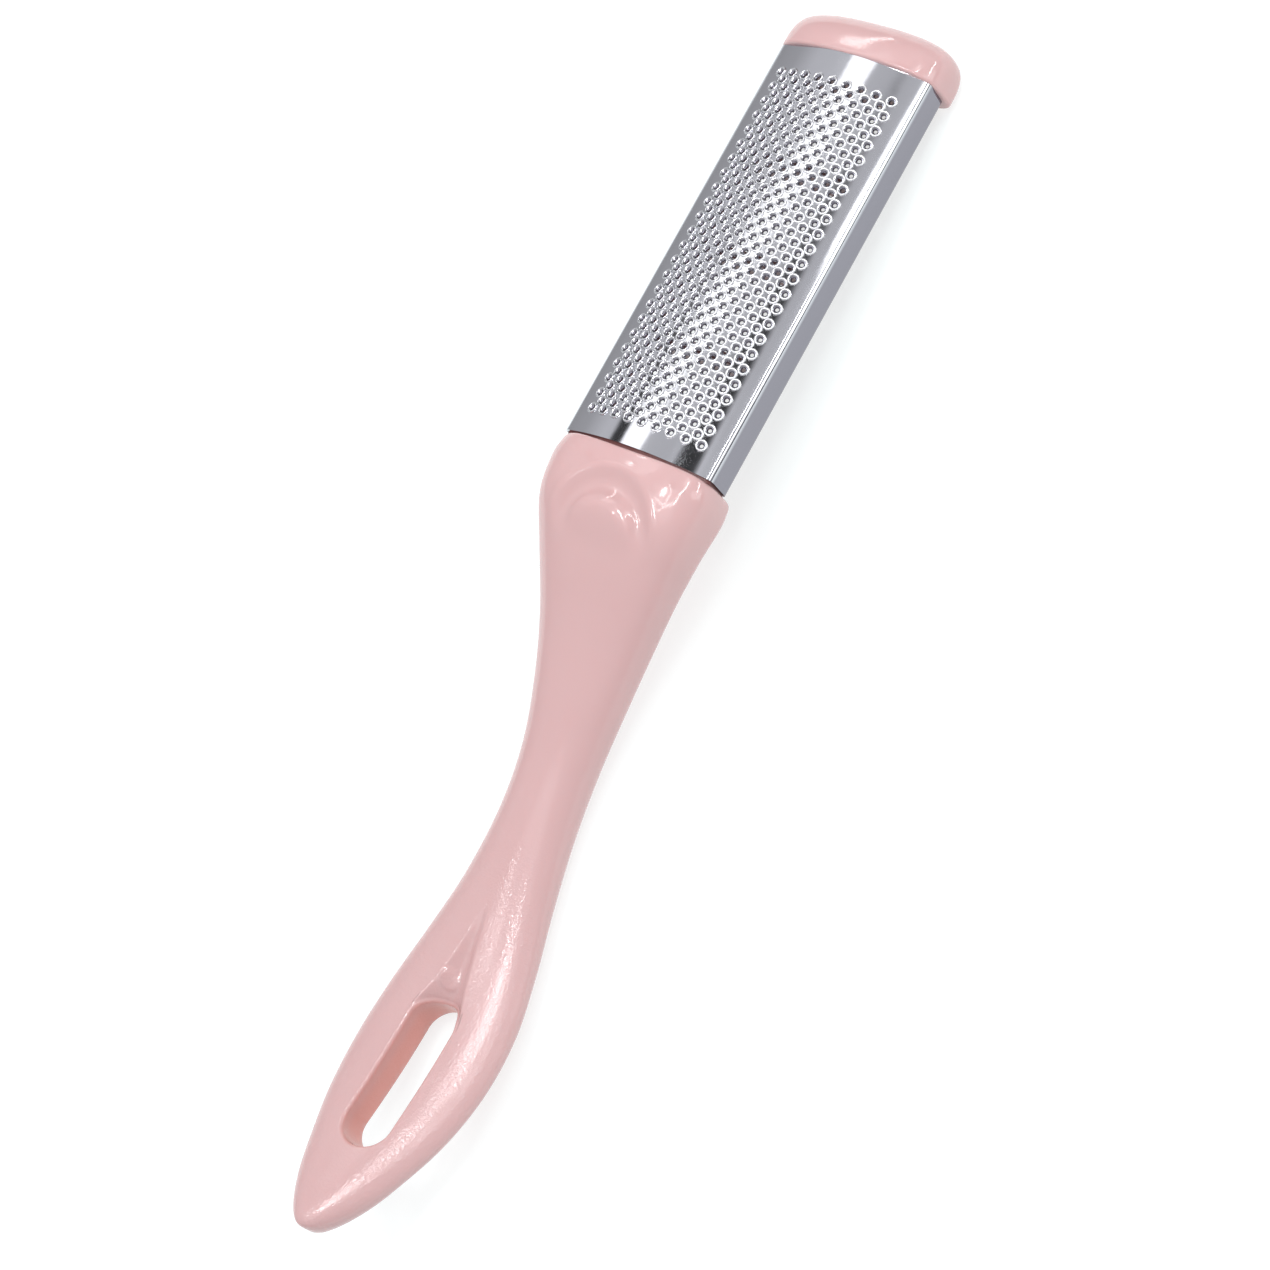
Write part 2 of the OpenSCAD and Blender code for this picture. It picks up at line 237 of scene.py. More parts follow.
def ring_points(at, quarter):
    """One closed section, from the middle of its underside past its left side and over the top."""
    low = quarter_oval(at.half, at.down, at.low_power, quarter)
    top = quarter_oval(at.half, at.up, at.top_power, quarter)
    left = [(y, -z) for y, z in reversed(low)] + top[1:]
    right = [(-y, z) for y, z in reversed(left[1:-1])]
    return [Vector((at.x, y, at.level + z)) for y, z in left + right]


def head_station(x, inset=0.0):
    """The section of the collar and the cap, drawn in by an inset."""
    rasp, head, _ = sizes()
    level = -head.level * rasp.plate_height
    top_power, low_power = 3.1, 5
    return Station(
        x, level, rasp.plate_width / 2 + head.step - inset, head.proud - level - inset,
        rasp.plate_height + head.drop + level - inset, top_power, low_power)


def rim_rows(edge):
    """Places and insets of the rings that round an edge facing the plate."""
    angles = [math.radians(a) for a in (90, 67.5, 45, 22.5, 0)]
    return [(edge * (1 - math.sin(a)), edge * (1 - math.cos(a))) for a in angles]


# Mesh helpers

def wrapped_tube(bm, rings):
    """Bends a flat grid round the given rings, welds its seam and marks each vertex with row and column."""
    row = bm.verts.layers.int.new("row")
    column = bm.verts.layers.int.new("column")
    across, along = len(rings[0]), len(rings) - 1
    bmesh.ops.create_grid(bm, x_segments=along, y_segments=across, size=1)
    for v in bm.verts:
        i = round((v.co.x + 1) / 2 * along)
        k = round((v.co.y + 1) / 2 * across) % across
        v[row], v[column] = i, k
        v.co = rings[i][k]
    bmesh.ops.remove_doubles(bm, verts=bm.verts, dist=WELD)
    return row, column


def grow_ring(bm, edges, place):
    """Extrudes a chain of edges and puts each new vertex where place says. Returns the new edges."""
    made = bmesh.ops.extrude_edge_only(bm, edges=edges)["geom"]
    for item in made:
        if isinstance(item, bmesh.types.BMVert):
            item.co = place(item)
    return [item for item in made if isinstance(item, bmesh.types.BMEdge)]


def sink_socket(bm, row, x, reach):
    """Carries the open ring at place x in to a tongue's socket and closes its floor."""
    rasp, head, _ = sizes()
    level = -head.tongue_share * rasp.plate_height
    half_width = head.tongue_width / 2 + head.fit
    half_height = head.tongue_height / 2 + head.fit

    def mouth(v):
        y, z = v.co.y, v.co.z - level
        grow = max(abs(y) / half_width, abs(z) / half_height)
        return Vector((x, y / grow, level + z / grow))

    edges = [e for e in bm.edges if e.is_boundary and all(v[row] == 0 for v in e.verts)]
    edges = grow_ring(bm, edges, mouth)
    edges = grow_ring(bm, edges, lambda v: v.co + Vector((reach, 0, 0)))
    bmesh.ops.contextual_create(bm, geom=edges)


def add_grain(bm, start, end, most):
    """Marks how much of the mould's grain each vertex gets: none at place start and the most at end."""
    layer = bm.verts.layers.float.new("grain")
    for v in bm.verts:
        v[layer] = most * ease((v.co.x - start) / (end - start))


def mark_sharp(bm, degrees):
    """Shades an edge sharp where its faces turn by more than some degrees."""
    for edge in bm.edges:
        edge.smooth = edge.calc_face_angle(0) < math.radians(degrees)


def head_frame():
    """The head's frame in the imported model, from where the plate lies and how the hanging eye leans."""
    rasp, _, _ = sizes()
    eye = next(m for m in frame["record"]["mounts"] if m["name"] == "hanging_eye")
    tilt = math.atan2(eye["axis"][0], eye["axis"][2])
    low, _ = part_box("rasp_plate")
    rear = low.x + rasp.plate_height * math.sin(tilt)
    crown = low.z + rasp.plate_height * math.cos(tilt) + rasp.plate_length * math.sin(tilt)
    return Matrix.Translation((rear, 0, crown)) @ Matrix.Rotation(tilt, 4, "Y")


def finish_piece(name, bm, material, slot, *nodes):
    """Tips a finished mesh into the tool's frame and makes it a piece that stands for CAD nodes."""
    bmesh.ops.recalc_face_normals(bm, faces=bm.faces)
    bm.transform(head_frame())
    mesh = bpy.data.meshes.new(name)
    for face in bm.faces:
        face.smooth = True
    bm.to_mesh(mesh)
    bm.free()
    mesh.materials.append(material)
    piece = bpy.data.objects.new(name, mesh)
    bpy.context.scene.collection.objects.link(piece)
    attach(piece, "root")
    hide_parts(*nodes)


# Material helpers

def feed(tree, node, inputs):
    """Feeds a node's inputs by name: a socket is linked, and any other value is kept there."""
    for name, value in inputs.items():
        if isinstance(value, bpy.types.NodeSocket):
            tree.links.new(value, node.inputs[name])
        else:
            node.inputs[name].default_value = value


def add_node(tree, kind, inputs, **settings):
    node = tree.nodes.new(kind)
    for name, value in settings.items():
        setattr(node, name, value)
    feed(tree, node, inputs)
    return node


def new_material(name):
    material = bpy.data.materials.new(name)
    material.use_nodes = True
    return material, material.node_tree


def marked(tree, name):
    """How strongly each vertex carries a named mark."""
    return add_node(tree, "ShaderNodeAttribute", {}, attribute_name=name).outputs["Fac"]


def noise(tree, vector, scale, detail, roughness=0.5):
    inputs = {"Vector": vector, "Scale": scale, "Detail": detail, "Roughness": roughness}
    return add_node(tree, "ShaderNodeTexNoise", inputs).outputs["Fac"]


def ranged(tree, value, low, high, start=0, end=1, curve="LINEAR"):
    """Goes from low to high as a value goes from start to end."""
    inputs = {"Value": value, "From Min": start, "From Max": end, "To Min": low, "To Max": high}
    return add_node(tree, "ShaderNodeMapRange", inputs, interpolation_type=curve).outputs["Result"]


def worked_out(tree, operation, *values):
    inputs = dict(enumerate(values))
    return add_node(tree, "ShaderNodeMath", inputs, operation=operation).outputs["Value"]


def bumped(tree, height, strength, distance, normal=None):
    inputs = {"Height": height, "Strength": strength, "Distance": distance}
    if normal is not None:
        inputs["Normal"] = normal
    return add_node(tree, "ShaderNodeBump", inputs).outputs["Normal"]


def tinted(tree, first, second, value):
    """Mixes two colours, each three numbers or a socket, by a value."""
    first, second = (
        c if isinstance(c, bpy.types.NodeSocket) else (*c, 1) for c in (first, second))
    inputs = {"A": first, "B": second, "Factor": value}
    return add_node(tree, "ShaderNodeMix", inputs, data_type="RGBA").outputs["Result"]


def shaded(colour, shares):
    return tuple(c * k for c, k in zip(colour, shares))


# Materials

def moulded_pink(name, colour, polish):
    """Glossy moulded plastic: a little light under the skin, faint flow marks and a fine ripple."""
    material, tree = new_material(name)
    where = add_node(tree, "ShaderNodeTexCoord", {}).outputs["Object"]
    deeper = shaded(colour, (0.97, 0.94, 0.94))
    # Painted shade: a redder, darker pink on the slot's rounded edge and walls, where the inner mark lies
    shade_red = shaded(colour, (1.12, 0.78, 0.68))
    skin = tinted(tree, deeper, colour, noise(tree, where, scale=38, detail=3))
    patches = noise(tree, where, scale=160, detail=2)
    ripple = bumped(tree, noise(tree, where, scale=240, detail=2), strength=0.12, distance=0.05 * MM)
    specks = noise(tree, where, scale=1500, detail=2, roughness=0.7)
    grain = worked_out(tree, "MULTIPLY", specks, marked(tree, "grain"))
    feed(tree, tree.nodes["Principled BSDF"], {
        "Base Color": tinted(tree, skin, shade_red, marked(tree, "inner")),
        "Roughness": ranged(tree, patches, low=polish * 0.85, high=polish * 1.2),
        "Normal": bumped(tree, grain, strength=1, distance=0.07 * MM, normal=ripple),
        "IOR": 1.53,
        "Subsurface Weight": 0.12,
        "Subsurface Radius": (1.0, 0.45, 0.4),
        "Subsurface Scale": 2 * MM,
    })
    return material


def polished_steel():
    """Polished sheet with faint lines from rolling along its length and small dents from punching."""
    rasp, _, _ = sizes()
    material, tree = new_material("polished_rasp_steel")
    where = add_node(tree, "ShaderNodeTexCoord", {}).outputs["Object"]
    stretched = add_node(tree, "ShaderNodeMapping", {"Vector": where, "Scale": (0.04, 1, 1)})
    lines = noise(tree, stretched.outputs["Vector"], scale=2600, detail=2)
    burnish_and_highlight = marked(tree, "burnish_and_highlight")
    steel, rim_matt = tuple(rasp.steel), 0.3
    darker = shaded(steel, (0.93, 0.93, 0.93))
    sheet = tinted(tree, darker, steel, noise(tree, where, scale=120, detail=3))
    # The rims' bright colour is partly burnish and partly a painted highlight; the same mark also makes
    # them rougher
    rims = tinted(tree, sheet, tuple(rasp.burnish_highlight_tint), burnish_and_highlight)
    rolled = ranged(tree, lines, low=rasp.polish * 0.8, high=rasp.polish * 1.25)
    waves = bumped(tree, noise(tree, where, scale=130, detail=2), strength=0.35, distance=0.045 * MM)
    small = noise(tree, where, scale=420, detail=2)
    dents = bumped(tree, small, strength=0.12, distance=0.02 * MM, normal=waves)
    feed(tree, tree.nodes["Principled BSDF"], {
        # The sides and bores get the dark colour as painted shade
        "Base Color": tinted(tree, rims, tuple(rasp.shade_paint), marked(tree, "side")),
        "Roughness": worked_out(tree, "MULTIPLY_ADD", burnish_and_highlight, rim_matt, rolled),
        "Normal": bumped(tree, lines, strength=0.15, distance=0.004 * MM, normal=dents),
        "Metallic": 1,
    })
    return material


# Rasp plate

def sheet_parts(rasp):
    """Length and radius of each part of half the sheet, from crown to lip. A flat has no radius."""
    inner_radius = rasp.crown_radius - rasp.bend
    lean = math.asin((rasp.plate_width / 2 - rasp.bend) / inner_radius)
    bend_z = inner_radius * math.cos(lean) - rasp.crown_radius
    return [
        (rasp.crown_radius * lean, rasp.crown_radius),
        (rasp.bend * (math.pi / 2 - lean), rasp.bend),
        (bend_z + rasp.plate_height - rasp.fold, None),
        (rasp.fold * math.pi / 2, rasp.fold),
        (rasp.lip - rasp.fold, None),
    ]


def folded(parts, x, s, h):
    """Where a point of the flat pattern, s across and h above its outer face, lies once it is folded."""
    side, left = (1 if s >= 0 else -1), abs(s)
    y = z = angle = 0.0
    for part, radius in parts:
        step = min(left, part)
        left -= step
        if radius is None:
            y += step * math.cos(angle)
            z -= step * math.sin(angle)
        else:
            turned = angle + step / radius
            y += radius * (math.sin(turned) - math.sin(angle))
            z += radius * (math.cos(turned) - math.cos(angle))
            angle = turned
    return Vector((x, side * (y + h * math.sin(angle)), z + h * math.cos(angle)))


# Points of the flat pattern: the end of a cut, a plain point, or the centre of a hole
CUT_END, PLAIN, HOLE = range(3)

# A hole's face has this many corners
CORNERS = 12


def flat_pattern(bm, rasp):
    """The flat sheet, cut so that each hole has a face of its own round it. Returns the holes' centres."""
    step = rasp.pitch / 2
    last_row = 2 * (rasp.rows - 1)
    first = -int(rasp.margin / step)
    last = int((rasp.plate_length - rasp.margin) / step) + 1
    wide = rasp.columns
    bmesh.ops.create_grid(bm, x_segments=last - first, y_segments=2 * wide, size=1)
    seat = bm.verts.layers.int.new("seat")
    ends = {first: 0, last: rasp.plate_length}
    for v in bm.verts:
        k = first + round((v.co.x + 1) / 2 * (last - first))
        m = round(v.co.y * wide)
        v[seat] = CUT_END if (k + m) % 2 else PLAIN
        if v[seat] == PLAIN and 0 <= k <= last_row and abs(m) < wide:
            v[seat] = HOLE
        v.co = Vector((ends.get(k, rasp.margin + k * step), m * step, 0))
    for face in list(bm.faces):
        bmesh.utils.face_split(face, *[v for v in face.verts if v[seat] == CUT_END])
    centres = [v for v in bm.verts if v[seat] == HOLE]
    spots = [v.co.copy() for v in centres]
    around = {e for v in centres for f in v.link_faces for e in f.edges if v not in e.verts}
    bmesh.ops.dissolve_verts(bm, verts=centres)
    bmesh.ops.subdivide_edges(bm, edges=[e for e in around if e.is_valid], cuts=CORNERS // 4 - 1)
    return spots


def add_sides(bm, rasp):
    """Draws the long edges of the flat pattern out by the bend, wall, fold and lip on each side."""
    reach = rasp.columns * rasp.pitch / 2
    crown, *others = [part for part, _ in sheet_parts(rasp)]
    stops = [crown]
    for part, steps in zip(others, (6, 5, 5, 2)):
        stops += [stops[-1] + part * (i + 1) / steps for i in range(steps)]
    for side in (-1, 1):
        edges = [e for e in bm.edges if e.is_boundary
                 and all(abs(v.co.y - side * reach) < WELD for v in e.verts)]
        for stop in stops:
            edges = grow_ring(bm, edges, lambda v: Vector((v.co.x, side * stop, v.co.z)))


# Rims get the least burnish and painted highlight beyond the first of these places across the plate, and
# the full amount past the second, so that side of the field is painted in shade
RIM_SHADE_FROM, RIM_LIT_FROM, SHADED_RIM_SHARE = 9 * MM, -7 * MM, 0.3


def ring_face(bm, face, centre, radius, height, painted_light_and_shade):
    """Sets the corners of a face on a circle round a hole's centre. Painted light above 0 is burnish with a
    painted highlight, and below 0 is painted shade.
    """
    burnish_and_highlight, shade_paint = bm.verts.layers.float["burnish_and_highlight"], bm.verts.layers.float["side"]
    lit_share = ease((RIM_SHADE_FROM - centre.y) / (RIM_SHADE_FROM - RIM_LIT_FROM))
    turn = 2 * math.pi / CORNERS
    for v in face.verts:
        v[burnish_and_highlight] = max(painted_light_and_shade, 0) * mix(SHADED_RIM_SHARE, 1, lit_share)
        v[shade_paint] = max(-painted_light_and_shade, 0)
        arm = v.co - centre
        angle = round(math.atan2(arm.y, arm.x) / turn) * turn
        v.co = centre + Vector((radius * math.cos(angle), radius * math.sin(angle), height))


def punch(bm, faces, spots, rings):
    """Insets every hole's face by rings of a radius, height and painted highlight or shade, and takes the
    last face out.
    """
    paired = [
        (f, min(spots, key=lambda c: (c - f.calc_center_median()).length_squared)) for f in faces]
    for ring in rings:
        bmesh.ops.inset_individual(bm, faces=faces, thickness=0.01 * MM, use_even_offset=False)
        for face, centre in paired:
            ring_face(bm, face, centre, *ring)
    bmesh.ops.delete(bm, geom=faces, context="FACES_ONLY")


def rim_rings(rasp):
    """Radius, height and painted light of a rim's rings, from its foot over the cutting edge and down the
    bore: burnish with a painted highlight on the edge, painted shade down the bore.
    """
    foot, top, tall, bore = rasp.rim_foot, rasp.rim_top, rasp.rim_height, rasp.bore
    return [
        (foot, 0, 0.3),
        (mix(foot, top, 0.45), tall * 0.7, 1),
        (top, tall, 1),
        (top * 0.9, tall * 0.96, 0.8),
        (top * 0.78, tall * 0.72, 0),
        (mix(bore, top, 0.3), tall * 0.1, -0.7),
        (bore, -rasp.sheet * 0.4, -1),
        (bore * 0.9, -rasp.sheet, -1),
    ]


def build_rasp_plate():
    """Punches the flat pattern, closes it to a sheet and folds it."""
    rasp, _, _ = sizes()
    bm = bmesh.new()
    bm.verts.layers.float.new("burnish_and_highlight")
    # Marks the sides and bores that get painted shade
    shade_paint = bm.verts.layers.float.new("side")
    spots = flat_pattern(bm, rasp)
    add_sides(bm, rasp)
    upper = list(bm.faces)
    copied = bmesh.ops.duplicate(bm, geom=bm.verts[:] + bm.edges[:] + bm.faces[:])["geom"]
    lower = [g for g in copied if isinstance(g, bmesh.types.BMFace)]
    for item in copied:
        if isinstance(item, bmesh.types.BMVert):
            item.co.z = -rasp.sheet
    bmesh.ops.reverse_faces(bm, faces=lower)
    rim = [e for e in bm.edges if e.is_boundary]
    rings = rim_rings(rasp)
    punch(bm, [f for f in upper if len(f.verts) == CORNERS], spots, rings)
    under = [Vector((c.x, c.y, -rasp.sheet)) for c in spots]
    punch(bm, [f for f in lower if len(f.verts) == CORNERS], under, [(rings[-1][0], 0, 0)])
    bmesh.ops.bridge_loops(bm, edges=rim)
    bmesh.ops.remove_doubles(bm, verts=bm.verts, dist=WELD)
    parts = sheet_parts(rasp)
    (crown, _), (bend, _) = parts[:2]
    # Painted shade starts part way round the upper bend and covers the sides and lips
    shade_paint_from, shade_paint_over = 0.72, 0.2
    for v in bm.verts:
        past = (abs(v.co.y) - crown - bend * shade_paint_from) / (bend * shade_paint_over)
        v[shade_paint] = max(v[shade_paint], ease(past))
        v.co = folded(parts, *v.co)
    mark_sharp(bm, degrees=62)
    finish_piece("punched_rasp_plate", bm, polished_steel(), "rasp_steel", "rasp_plate")


# End cap

def build_end_cap():
    """Carries the head's section over into a dome with a flat sole."""
    rasp, head, handle = sizes()
    quarter, turns = 32, 24
    along_power, wide_power, nose_power, low_power = 2.3, 4.2, 2.2, 3.4
    front = rasp.plate_length
    full = head_station(front)._replace(low_power=low_power)
    sole = full.level - full.down + head.sole
    middle = full.level + (full.up - full.down) / 2
    rings = []
    for x, inset in rim_rows(head.edge):
        at = head_station(front + x, inset)
        rings.append(ring_points(at._replace(low_power=low_power), quarter))
    for i in range(turns + 1):
        angle = math.pi / 2 * i / turns
        t = math.sin(angle) ** (2 / along_power)
        grow = math.cos(angle) ** (2 / along_power) if i < turns else 0
        wide = max(1 - t ** wide_power, 0) ** (1 / wide_power) if i < turns else 0
        rings.append(ring_points(Station(
            front + head.rim + head.dome * t, mix(middle, full.level, grow),
            full.half * wide, full.up * grow, full.down * grow,
            mix(nose_power, full.top_power, grow ** 2), mix(nose_power, low_power, grow ** 2)), quarter))
    for ring in rings:
        for p in ring:
            p.z = max(p.z, sole)
    bm = bmesh.new()
    row, _ = wrapped_tube(bm, rings)
    sink_socket(bm, row, front, head.front_tongue + head.fit)
    add_grain(bm, front - head.front_tongue, front, most=0.15)
    material = moulded_pink("cap_pink", tuple(handle.pink), handle.polish)
    finish_piece("domed_end_cap", bm, material, "cap_plastic", "end_cap")


# Handle. The tables give places along it and shares of the sizes there.
WIDTH_SHARES = [
    (0, 0.935, 0, 0), (0.006, 0.972, 0, 0), (0.03, 1, 0, 0), (0.08, 0.915, 0.085, 0),
    (0.13, 0.705, 0.295, 0), (0.2, 0.41, 0.59, 0), (0.27, 0.185, 0.815, 0),
    (0.35, 0.02, 0.98, 0), (0.43, 0, 0.98, 0.02), (0.52, 0, 0.73, 0.27),
    (0.6, 0, 0.37, 0.63), (0.68, 0, 0.06, 0.94), (0.76, 0, 0, 1),
    (0.84, 0, 0, 0.89), (0.92, 0, 0, 0.64), (1, 0, 0, 0.38),
]
DEPTH_SHARES = [
    (0, 0.98, 0, 0), (0.006, 0.992, 0, 0), (0.03, 1, 0, 0), (0.08, 0.8, 0.2, 0),
    (0.13, 0.54, 0.46, 0), (0.2, 0.35, 0.65, 0), (0.27, 0.23, 0.77, 0),
    (0.35, 0.08, 0.92, 0), (0.43, 0, 0.93, 0.07), (0.52, 0, 0.57, 0.43),
    (0.6, 0, 0.29, 0.71), (0.68, 0, 0.07, 0.93), (0.76, 0, 0, 1), (1, 0, 0, 0.97),
]
DIP_SHARES = [
    (0, 0), (0.03, 0), (0.08, 0.02), (0.13, 0.14), (0.2, 0.35), (0.27, 0.53),
    (0.35, 0.698), (0.43, 0.818), (0.52, 0.918), (0.6, 0.975), (0.68, 0.998),
    (0.76, 0.975), (0.84, 0.916), (0.92, 0.832), (1, 0.732),
]
POCKET_SHARES = [
    (0, 0), (0.06, 0.125), (0.134, 0.22), (0.306, 0.34), (0.478, 0.485), (0.65, 0.66),
    (0.81, 0.875), (0.9, 0.965), (0.95, 0.995), (1, 1),
]
GRIP_POWER = 2.1
TIP_POWER = 2.45


def grip_station(x, inset=0.0):
    """The handle's section at place x in the head's frame."""
    _, _, h = sizes()
    head = head_station(x)
    s = min(max(-(x + h.gap) / h.grip, 0.0), 1.0)
    near_tip = min((1 - s) * h.grip / h.tip, 1.0)
    closing = max(1 - (1 - near_tip) ** TIP_POWER, 0.0) ** (1 / TIP_POWER)
    wide = [value_on(WIDTH_SHARES, s, c) for c in (1, 2, 3)]
    deep = [value_on(DEPTH_SHARES, s, c) for c in (1, 2, 3)]
    half = closing * (wide[0] * head.half + wide[1] * h.neck_width / 2 + wide[2] * h.eye_width / 2)
    plain = deep[1] * h.neck_depth / 2 + deep[2] * h.eye_depth / 2
    up = math.sqrt(closing) * (deep[0] * head.up + plain)
    down = math.sqrt(closing) * (deep[0] * head.down + plain)
    square = ease(deep[0])
    level = head.level - h.dip * value_on(DIP_SHARES, s, 1)
    return Station(
        x, level, half - inset, up - inset, down - inset,
        mix(GRIP_POWER, head.top_power, square), mix(GRIP_POWER, head.low_power, square))


def grip_tip():
    _, _, h = sizes()
    return -h.gap - h.grip


def top_at(x, y):
    """Height of the grip's upper skin."""
    at = grip_station(x)
    return at.level + oval_height(at.half, at.up, at.top_power, y)


def underside_at(x, y):
    at = grip_station(x)
    return at.level - oval_height(at.half, at.down, at.low_power, y)


def thumb_hollow(x, y):
    """Depth of the hollow that bends round the front of the raised thumb pad."""
    _, _, h = sizes()
    fade_from, fade_to = -3 * MM, 4 * MM
    ridge_width, pad_edge, pad_edge_width, hollow_power = 0.1, 1.2, 0.55, 0.85
    u, v = x + h.gap + h.thumb, y + h.thumb_side
    if u < fade_from:
        return 0.0
    ridge = math.hypot(u / h.ridge_reach, v / h.ridge_side)
    pad = math.hypot(u / h.pad_reach, v / h.pad_side)
    proud = h.ridge_rise * math.exp(-((ridge - 1) / ridge_width) ** 2)
    proud += h.pad_rise * ease((pad_edge - pad) / pad_edge_width)
    depth = 0.0
    if pad > 1 > ridge:
        t = ((pad - 1) / (pad / ridge - 1)) ** hollow_power
        depth = h.thumb_dip * (1 - math.cos(2 * math.pi * t)) / 2
    return (depth - proud) * ease((u - fade_from) / (fade_to - fade_from))


class Eye:
    """Plan of the hanging slot and of the pocket that leads into it."""

    soft = 0.7 * MM
    mark_ahead, mark_side = 8.4 * MM, 1.2 * MM
    mark_height, mark_radius, mark_edge = 0.4 * MM, 1.9 * MM, 0.5 * MM

    def __init__(self):
        _, _, h = sizes()
        self.edge = h.slot_edge
        self.wall = h.slot_width / 2
        self.outer = self.wall + self.edge
        self.far = grip_tip() + h.slot_end + self.wall
        self.near = self.far + h.slot_length - 2 * self.wall
        self.point = self.near + self.wall + h.pocket
        self.depth = h.pocket_depth
        # Steps across half a window, and its rows at the near end, walls, far end and pocket
        self.short, self.turn, self.straight, self.past, self.lead = 18, 9, 21, 10, 28
        self.arc = self.short + self.turn
        self.side_rows = self.short + self.lead

    def slot_at(self, g, side, half):
        """Point g steps round the slot's outline from the middle of its near end."""
        if g <= self.arc:
            angle = math.pi / 2 * g / self.arc
            return self.near + half * math.cos(angle), side * half * math.sin(angle)
        g -= self.arc
        if g <= self.straight:
            return mix(self.near, self.far, g / self.straight), side * half
        angle = math.pi / 2 * (g - self.straight) / (self.past + self.short)
        return self.far - half * math.sin(angle), side * half * math.cos(angle)

    def pocket_share(self, h):
        """Share of the pocket's length at step h. The steps are closer near its point."""
        closer = 1.3
        return (h / self.side_rows) ** closer

    def mouth_at(self, h, side):
        """Point h steps round the outline of pocket and slot, from the pocket's point."""
        if h >= self.side_rows:
            return self.slot_at(h - self.side_rows + self.arc, side, self.outer)
        f = self.pocket_share(h)
        return mix(self.point, self.near, f), side * self.outer * value_on(POCKET_SHARES, f, 1)

    def floor_at(self, f, b):
        """Plan place and depth of the pocket's floor at share f of its length, b steps from its middle."""
        bent_from, bent_power = 0.6, 1.5
        angle = math.pi / 2 * b / self.arc
        bent = max((f - bent_from) / (1 - bent_from), 0) ** bent_power
        x = mix(self.point, self.near, f) + bent * self.outer * math.cos(angle)
        here = (self.point - x) / (self.point - self.near)
        wide = mix(value_on(POCKET_SHARES, here, 1), value_on(POCKET_SHARES, f, 1), bent ** 2)
        y = self.outer * wide * math.sin(angle)
        return x, y, self.sunk(f, math.sin(abs(angle))) - self.mark(x, y)

    def sunk(self, f, t):
        """Depth of the floor at share f of its length and share t of its half width."""
        round_floor, sink_power = 0.3, 1.1
        deepest = math.hypot(1, round_floor) - round_floor
        valley = (math.hypot(1, round_floor) - math.hypot(t, round_floor)) / deepest
        off_edge = (1 - t) * self.outer * value_on(POCKET_SHARES, f, 1)
        soft_edge = off_edge ** 2 / (off_edge ** 2 + self.soft ** 2)
        return self.depth * f ** sink_power * valley * soft_edge

    def mark(self, x, y):
        """Height of the round mark that the mould leaves on the floor of the pocket."""
        off = math.hypot(x - self.near - self.mark_ahead, y - self.mark_side)
        return self.mark_height * ease((self.mark_radius - off) / self.mark_edge)


def handle_rows(eye):
    """Places of the rings along the handle, and the numbers of those that bound the eye's cuts."""
    _, head, h = sizes()
    tip = grip_tip()
    rim_end, thumb_end, tip_share = 0.98 * head.edge, 24 * MM, 0.55
    thumb_rows, waist_rows, tip_rows, round_rows = 52, 56, 5, 16
    window_start, window_end = eye.point + 2 * MM, eye.far - eye.outer - 3.4 * MM
    places = [-h.gap - rim_end]

    def run(to, count):
        """Adds rows up to a place and returns the number of the last one."""
        start = places[-1]
        places.extend(mix(start, to, (i + 1) / count) for i in range(count))
        return len(places) - 1

    run(-h.gap - thumb_end, thumb_rows)
    top_start = run(window_start, waist_rows)
    pocket_rows = eye.lead - eye.turn
    low_start = run(mix(window_start, eye.near, pocket_rows / eye.lead), pocket_rows)
    run(eye.near, eye.turn)
    run(eye.far, eye.straight)
    end = run(window_end, eye.past)
    run(tip + h.tip * tip_share, tip_rows)
    start = places[-1]
    for i in range(round_rows):
        places.append(tip + (start - tip) * (1 - math.sin(math.pi / 2 * (i + 1) / round_rows)))
    return places, top_start, low_start, end


def build_handle():
    """Lofts the collar, thumb rest, waist and grip in one, then cuts the eye."""
    _, head, h = sizes()
    eye = Eye()
    quarter, bowed_rows = 40, 6
    places, top_start, low_start, end = handle_rows(eye)
    rings = []
    for x, inset in rim_rows(head.edge)[:-1]:
        rings.append(ring_points(grip_station(-h.gap - x, inset), quarter))
    first = len(rings)
    rings += [ring_points(grip_station(x), quarter) for x in places]
    widest = head_station(0).half
    for number, ring in enumerate(rings):
        for p in ring[quarter:3 * quarter + 1]:
            p.z -= thumb_hollow(p.x, p.y)
        fade = max(1 - number / (first + bowed_rows), 0)
        for p in ring:
            side = (p.y / widest) ** 2
            p.x += fade * (h.bow * side - h.sag * (1 - side))
    bm = bmesh.new()
    # The inner mark carries painted shade for the slot's edge and walls
    bm.verts.layers.float.new("inner")
    row, column = wrapped_tube(bm, rings)
    sink_socket(bm, row, -h.gap, -head.rear_tongue - head.fit)
    cut_eye(bm, eye, row, column, 2 * quarter, first + top_start, first + low_start, first + end)
    bmesh.ops.remove_doubles(bm, verts=bm.verts, dist=WELD)
    mark_sharp(bm, degrees=50)
    add_grain(bm, eye.point + 20 * MM, eye.point, most=1)
    material = moulded_pink("handle_pink", tuple(h.pink), h.polish)
    finish_piece("moulded_handle", bm, material, "handle_plastic", "handle")


